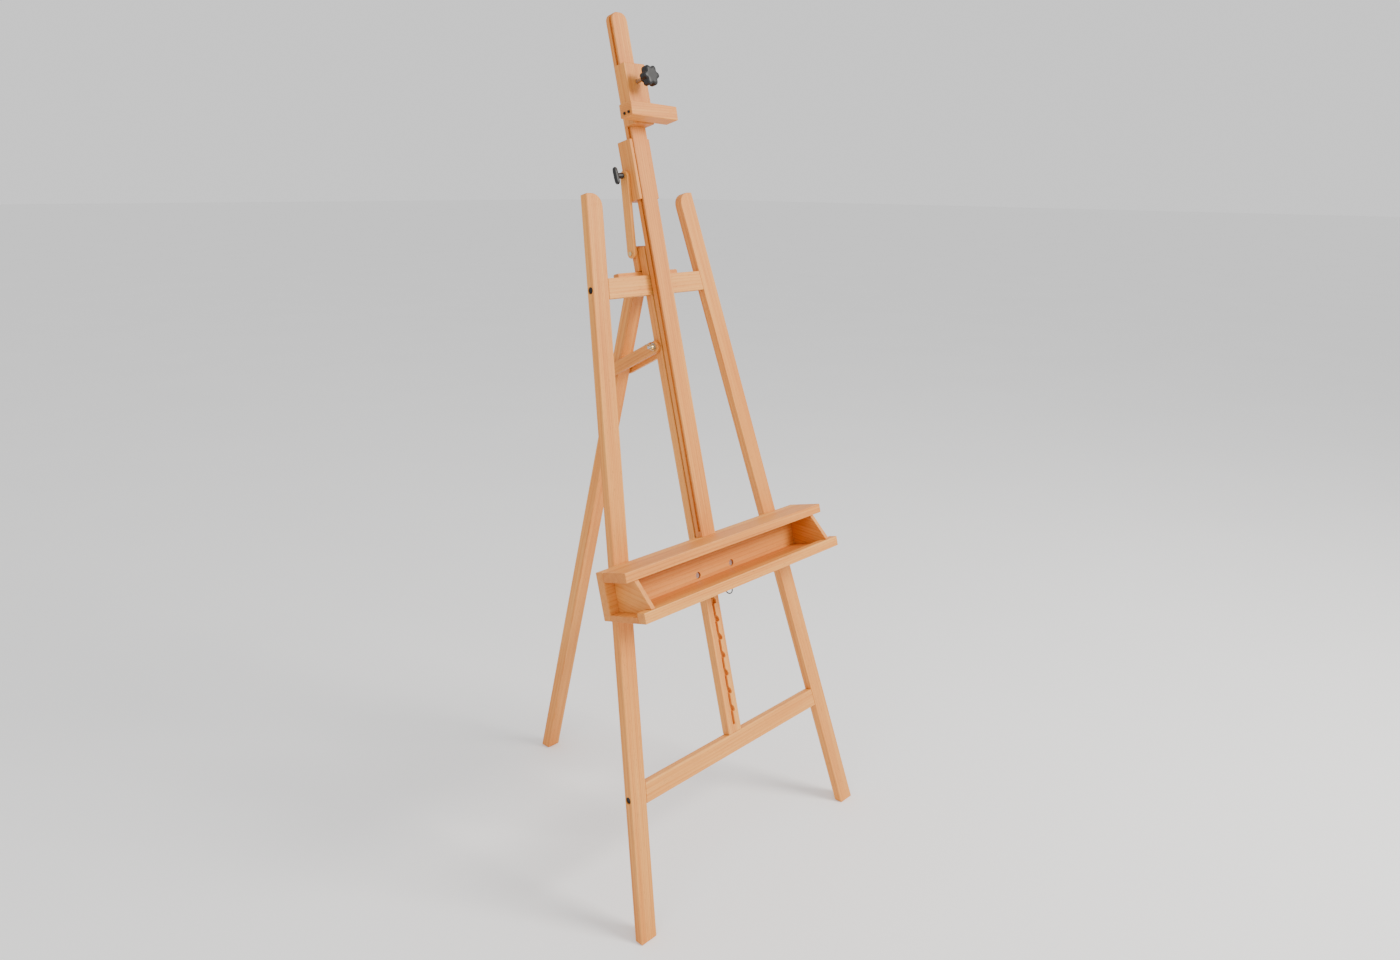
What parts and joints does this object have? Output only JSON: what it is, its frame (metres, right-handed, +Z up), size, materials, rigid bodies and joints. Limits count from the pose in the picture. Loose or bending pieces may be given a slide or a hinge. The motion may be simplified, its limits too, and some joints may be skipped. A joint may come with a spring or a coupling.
{
  "type": "folding wooden studio easel",
  "caption": "Folding wooden studio easel: leaning A-frame, toothed centre rail, sliding mast with paint tray and canvas clamp, hinged rear leg with stay links.",
  "frame": {"origin": "centre of the bounding box's underside, on the floor", "axes": "+Z up, -Y towards the painter, +Y towards the rear leg, +X to the painter's right"},
  "size_m": [0.7034, 0.7276, 1.7484],
  "materials": {
    "oiled_beech": "oiled, fine straight grain",
    "zinc_steel": "zinc plated, satin",
    "dark_steel": "blackened, satin",
    "brass": "plated, satin",
    "black_plastic": "moulded, matt"
  },
  "bodies": {
    "frame": {"left_leg": "oiled_beech", "right_leg": "oiled_beech", "upper_crossbar": "oiled_beech", "lower_crossbar": "oiled_beech", "toothed_rail": "oiled_beech", "hinge_block": "oiled_beech", "arm_post": "oiled_beech", "hinge_leaf_frame": "zinc_steel", "hinge_pin": "zinc_steel", "hinge_block_screw_left": "zinc_steel", "hinge_block_screw_right": "zinc_steel", "lower_bolt_left": "dark_steel", "lower_bolt_right": "dark_steel", "upper_bolt_left": "dark_steel", "upper_bolt_right": "dark_steel", "stay_front_bolt": "zinc_steel", "stay_washer": "zinc_steel", "guide_block": "oiled_beech", "guide_arm_left": "oiled_beech", "guide_arm_right": "oiled_beech", "guide_bolt": "zinc_steel", "arm_screw_left": "brass", "arm_screw_right": "brass"},
    "rear_leg": {"rear_leg": "oiled_beech", "hinge_leaf_leg": "zinc_steel", "hinge_screw_1": "zinc_steel", "hinge_screw_2": "zinc_steel", "stay_rear_bolt": "dark_steel", "stay_rear_nut": "dark_steel", "stay_spacer_left": "zinc_steel", "stay_spacer_right": "zinc_steel"},
    "stay_links": {"stay_link_left": "oiled_beech", "stay_link_right": "oiled_beech"},
    "wing_nut": {"wing_nut": "brass"},
    "arm_knob": {"arm_knob": "black_plastic"},
    "mast": {"mast": "oiled_beech", "tray_back": "oiled_beech", "tray_ledge": "oiled_beech", "tray_floor": "oiled_beech", "tray_lip": "oiled_beech", "tray_end_left": "oiled_beech", "tray_end_right": "oiled_beech", "carriage_plate": "oiled_beech", "carriage_spacer_left": "oiled_beech", "carriage_spacer_right": "oiled_beech", "carriage_bolt_left": "zinc_steel", "carriage_bolt_right": "zinc_steel", "carriage_nut_left": "zinc_steel", "carriage_nut_right": "zinc_steel", "pawl_screw": "zinc_steel", "pawl_spacer": "zinc_steel"},
    "pawl": {"pawl": "zinc_steel", "pull_ring": "dark_steel"},
    "clamp": {"clamp_body": "oiled_beech", "clamp_lip": "oiled_beech", "lip_screw_front": "dark_steel", "lip_screw_back": "dark_steel"},
    "clamp_knob": {"clamp_knob": "black_plastic", "clamp_stud": "zinc_steel"}
  },
  "joints": [
    {"name": "rear_leg_fold", "type": "hinge", "parent": "frame", "child": "rear_leg", "pos_m": [0, -0.01443, 1.23297], "axis": [1, 0, 0], "range_deg": [-28, 0]},
    {"name": "stay_link_fold", "type": "hinge", "parent": "rear_leg", "child": "stay_links", "pos_m": [0, 0.05865, 1.03538], "axis": [1, 0, 0], "range_deg": [0, 132.75]},
    {"name": "wing_nut_turn", "type": "hinge", "parent": "frame", "child": "wing_nut", "pos_m": [-0.04, -0.07461, 1.10269], "axis": [1, 0, 0], "continuous": true},
    {"name": "arm_knob_turn", "type": "hinge", "parent": "frame", "child": "arm_knob", "pos_m": [-0.05, 0.00364, 1.43875], "axis": [1, 0, 0], "continuous": true},
    {"name": "mast_slide", "type": "slide", "parent": "frame", "child": "mast", "axis": [0, 0.2431, 0.97], "range_m": [0, 0.28]},
    {"name": "pawl_turn", "type": "hinge", "parent": "mast", "child": "pawl", "pos_m": [0, -0.23967, 0.61602], "axis": [0, -0.2431, -0.97], "range_deg": [0, 8]},
    {"name": "clamp_slide", "type": "slide", "parent": "mast", "child": "clamp", "axis": [0, 0.2431, 0.97], "range_m": [-0.01, 0.075]},
    {"name": "clamp_knob_turn", "type": "hinge", "parent": "clamp", "child": "clamp_knob", "pos_m": [0, -0.01954, 1.62187], "axis": [0, 0.97, -0.2431], "continuous": true}
  ],
  "couplings": [
    {"joint": "stay_link_fold", "follows": "rear_leg_fold", "ratio": -4.7338}
  ]
}
